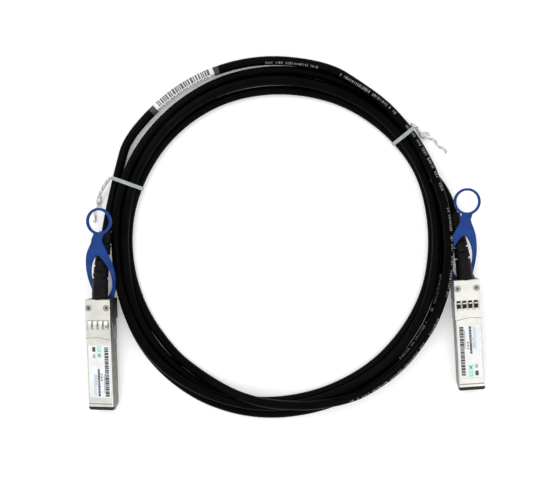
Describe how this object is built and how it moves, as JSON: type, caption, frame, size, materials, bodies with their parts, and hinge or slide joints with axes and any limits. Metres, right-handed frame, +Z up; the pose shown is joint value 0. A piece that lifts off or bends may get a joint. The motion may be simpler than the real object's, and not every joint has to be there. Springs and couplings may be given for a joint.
{
  "type": "direct attach copper cable",
  "caption": "Coiled black direct attach copper cable, a pluggable metal connector with a blue pull-tab latch at each end, tied twice",
  "frame": {"origin": "on the surface it lies on, under the middle of the box that holds both connectors", "axes": "+X from the left connector to the right connector, +Y from the connectors' ends towards the cable, +Z up"},
  "size_m": [0.2091, 0.1893, 0.0195],
  "materials": {
    "die_cast": "nickel-plated die casting, satin",
    "spring_steel": "bright rolled strip",
    "screw_steel": "nickel-plated",
    "tab_blue": "moulded, slight sheen",
    "boot_rubber": "moulded, satin",
    "jacket_black": "extruded, soft sheen",
    "tie_pale": "pale grey, slightly translucent",
    "insert_black": "moulded, matt",
    "label_white": "printed film",
    "clear_sleeve": "clear shrink tube",
    "board_green": "solder mask",
    "chip_black": "moulded package",
    "copper": "bare wire and ring"
  },
  "bodies": {
    "cable": {"left_base_shell": "die_cast", "left_top_cover": "die_cast", "left_emi_collar": "spring_steel", "left_cover_screws": "screw_steel", "left_return_spring": "spring_steel", "left_boot": "boot_rubber", "left_crimp_ferrule": "copper", "left_cable_end": "jacket_black", "left_conductors": "copper", "left_paddle_card": "board_green", "left_id_chip": "chip_black", "left_nose_insert": "insert_black", "left_face_label": "label_white", "right_base_shell": "die_cast", "right_top_cover": "die_cast", "right_emi_collar": "spring_steel", "right_cover_screws": "screw_steel", "right_return_spring": "spring_steel", "right_boot": "boot_rubber", "right_crimp_ferrule": "copper", "right_cable_end": "jacket_black", "right_conductors": "copper", "right_paddle_card": "board_green", "right_id_chip": "chip_black", "right_nose_insert": "insert_black", "right_face_label": "label_white", "left_lead": "jacket_black", "right_lead": "jacket_black", "cable_coil": "jacket_black", "left_tie": "tie_pale", "right_tie": "tie_pale", "cable_label": "label_white", "label_shrink": "clear_sleeve"},
    "left_release": {"left_latch_slider": "spring_steel", "left_pull_tab": "tab_blue"},
    "right_release": {"right_latch_slider": "spring_steel", "right_pull_tab": "tab_blue"}
  },
  "joints": [
    {"name": "left_release_slide", "type": "slide", "parent": "cable", "child": "left_release", "axis": [-0.0261, 0.998, 0.0576], "range_m": [0, 0.0023], "stiffness_N_per_m": 1500, "deforming": ["left_return_spring"]},
    {"name": "right_release_slide", "type": "slide", "parent": "cable", "child": "right_release", "axis": [-0.0662, 0.9961, 0.0576], "range_m": [0, 0.0023], "stiffness_N_per_m": 1500, "deforming": ["right_return_spring"]}
  ]
}
